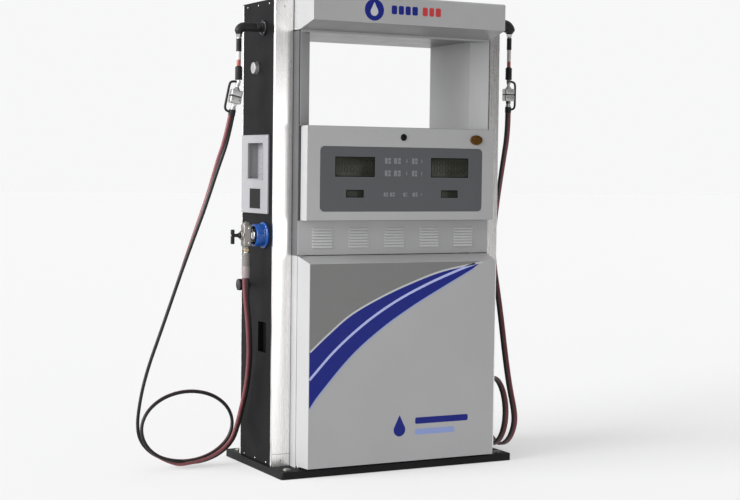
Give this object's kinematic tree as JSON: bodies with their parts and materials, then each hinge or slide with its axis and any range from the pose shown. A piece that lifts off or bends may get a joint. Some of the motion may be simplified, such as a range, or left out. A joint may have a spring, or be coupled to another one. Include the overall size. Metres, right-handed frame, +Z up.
{
  "type": "gas pump",
  "caption": "Double-sided gas dispenser cabinet with see-through head, display covers, louvred vents, doors, side nozzles and looped twin-line hoses.",
  "frame": {"origin": "middle of the cabinet's footprint on the floor, hoses and their outlets left out", "axes": "+Z up, the front face with its door and display looks along -Y, +X is to the right of someone facing the front"},
  "size_m": [1.8922, 0.744, 2.1],
  "materials": {
    "black_paint": "satin powder coat",
    "frame_paint": "matte primer",
    "stainless": "vertical brushed grain",
    "white_paint": "gloss powder coat",
    "overlay_film": "printed satin film",
    "display_glass": "glossy",
    "circuit_board": "solder mask",
    "bronze": "aged satin",
    "zinc_plate": "zinc plated",
    "plated_steel": "nickel plated",
    "cast_body": "cast and blasted",
    "pale_plastic": "fine texture",
    "black_gloss": "glossy",
    "black_plastic": "moulded",
    "blue_plastic": "moulded",
    "hose_rubber": "satin"
  },
  "bodies": {
    "cabinet": {"base_plate": "black_paint", "inner_frame": "frame_paint", "post_front_left": "stainless", "post_front_right": "stainless", "post_rear_left": "stainless", "post_rear_right": "stainless", "side_panel_left": "black_paint", "side_panel_right": "black_paint", "roof_panel": "black_paint", "header_front": "white_paint", "header_rear": "white_paint", "window_surround": "white_paint", "vent_panel_front": "white_paint", "vent_panel_rear": "white_paint", "hinges_and_strikes": "zinc_plate", "inlet_manifold": "plated_steel", "gas_filter": "cast_body", "solenoid_valves": "black_plastic", "flow_meter_left": "cast_body", "flow_meter_right": "cast_body", "gas_pipework": "plated_steel", "computer_box": "cast_body", "card_holder_left": "pale_plastic", "card_holder_right": "pale_plastic", "card_window_left": "black_gloss", "card_window_right": "black_gloss", "nozzle_cup_left": "blue_plastic", "nozzle_cup_right": "blue_plastic", "outlet_elbow_left": "black_plastic", "outlet_elbow_right": "black_plastic", "hose_whip_left": "hose_rubber", "hose_whip_right": "hose_rubber", "breakaway_left": "plated_steel", "breakaway_right": "plated_steel", "hose_left": "hose_rubber", "hose_right": "hose_rubber"},
    "cover_front": {"display_cover_front": "white_paint", "display_overlay_front": "overlay_film", "display_lcds_front": "display_glass", "display_board_front": "circuit_board"},
    "cover_latch_front_turns": {"cover_latch_front": "bronze"},
    "door_front_swings": {"door_front": "white_paint"},
    "door_lock_front_turns": {"door_lock_front": "plated_steel"},
    "cover_rear": {"display_cover_rear": "white_paint", "display_overlay_rear": "overlay_film", "display_lcds_rear": "display_glass", "display_board_rear": "circuit_board"},
    "cover_latch_rear_turns": {"cover_latch_rear": "bronze"},
    "door_rear_swings": {"door_rear": "white_paint"},
    "door_lock_rear_turns": {"door_lock_rear": "plated_steel"},
    "side_lock_left_turns": {"side_lock_left": "plated_steel"},
    "shutoff_knob_left_turns": {"shutoff_knob_left": "black_plastic"},
    "nozzle_left_slides": {"nozzle_left": "plated_steel", "hose_boot_left": "pale_plastic"},
    "nozzle_lever_left_turns": {"nozzle_lever_left": "black_plastic"},
    "side_lock_right_turns": {"side_lock_right": "plated_steel"},
    "shutoff_knob_right_turns": {"shutoff_knob_right": "black_plastic"},
    "nozzle_right_slides": {"nozzle_right": "plated_steel", "hose_boot_right": "pale_plastic"},
    "nozzle_lever_right_turns": {"nozzle_lever_right": "black_plastic"}
  },
  "joints": [
    {"name": "cover_hinge_front", "type": "hinge", "parent": "cabinet", "child": "cover_front", "pos_m": [-0.464, -0.254, 1.327], "axis": [0, 0, -1], "range_deg": [0, 100]},
    {"name": "cover_latch_front", "type": "hinge", "parent": "cover_front", "child": "cover_latch_front_turns", "pos_m": [0.377, -0.305, 1.485], "axis": [0, -1, 0], "range_deg": [0, 90]},
    {"name": "door_hinge_front", "type": "hinge", "parent": "cabinet", "child": "door_front_swings", "pos_m": [-0.476, -0.254, 0.5], "axis": [0, 0, -1], "range_deg": [0, 110]},
    {"name": "door_lock_front", "type": "hinge", "parent": "door_front_swings", "child": "door_lock_front_turns", "pos_m": [0.485, -0.258, 0.56], "axis": [-1, 0, 0], "range_deg": [0, 90]},
    {"name": "cover_hinge_rear", "type": "hinge", "parent": "cabinet", "child": "cover_rear", "pos_m": [0.464, 0.254, 1.327], "axis": [0, 0, -1], "range_deg": [0, 100]},
    {"name": "cover_latch_rear", "type": "hinge", "parent": "cover_rear", "child": "cover_latch_rear_turns", "pos_m": [-0.377, 0.305, 1.485], "axis": [0, 1, 0], "range_deg": [0, 90]},
    {"name": "door_hinge_rear", "type": "hinge", "parent": "cabinet", "child": "door_rear_swings", "pos_m": [0.476, 0.254, 0.5], "axis": [0, 0, -1], "range_deg": [0, 110]},
    {"name": "door_lock_rear", "type": "hinge", "parent": "door_rear_swings", "child": "door_lock_rear_turns", "pos_m": [-0.485, 0.258, 0.56], "axis": [1, 0, 0], "range_deg": [0, 90]},
    {"name": "side_lock_left", "type": "hinge", "parent": "cabinet", "child": "side_lock_left_turns", "pos_m": [-0.575, 0.016, 1.79], "axis": [1, 0, 0], "range_deg": [0, 90]},
    {"name": "shutoff_knob_left", "type": "hinge", "parent": "cabinet", "child": "shutoff_knob_left_turns", "pos_m": [-0.618, 0.09, 0.82], "axis": [1, 0, 0], "range_deg": [0, 90]},
    {"name": "nozzle_pull_left", "type": "slide", "parent": "cabinet", "child": "nozzle_left_slides", "axis": [-1, 0, 0], "range_m": [0, 0.07]},
    {"name": "nozzle_lever_left", "type": "hinge", "parent": "nozzle_left_slides", "child": "nozzle_lever_left_turns", "pos_m": [-0.7, -0.08, 1.05], "axis": [1, 0, 0], "range_deg": [0, 180]},
    {"name": "side_lock_right", "type": "hinge", "parent": "cabinet", "child": "side_lock_right_turns", "pos_m": [0.575, -0.016, 1.79], "axis": [-1, 0, 0], "range_deg": [0, 90]},
    {"name": "shutoff_knob_right", "type": "hinge", "parent": "cabinet", "child": "shutoff_knob_right_turns", "pos_m": [0.618, -0.09, 0.82], "axis": [-1, 0, 0], "range_deg": [0, 90]},
    {"name": "nozzle_pull_right", "type": "slide", "parent": "cabinet", "child": "nozzle_right_slides", "axis": [1, 0, 0], "range_m": [0, 0.07]},
    {"name": "nozzle_lever_right", "type": "hinge", "parent": "nozzle_right_slides", "child": "nozzle_lever_right_turns", "pos_m": [0.7, 0.08, 1.05], "axis": [-1, 0, 0], "range_deg": [0, 180]}
  ]
}
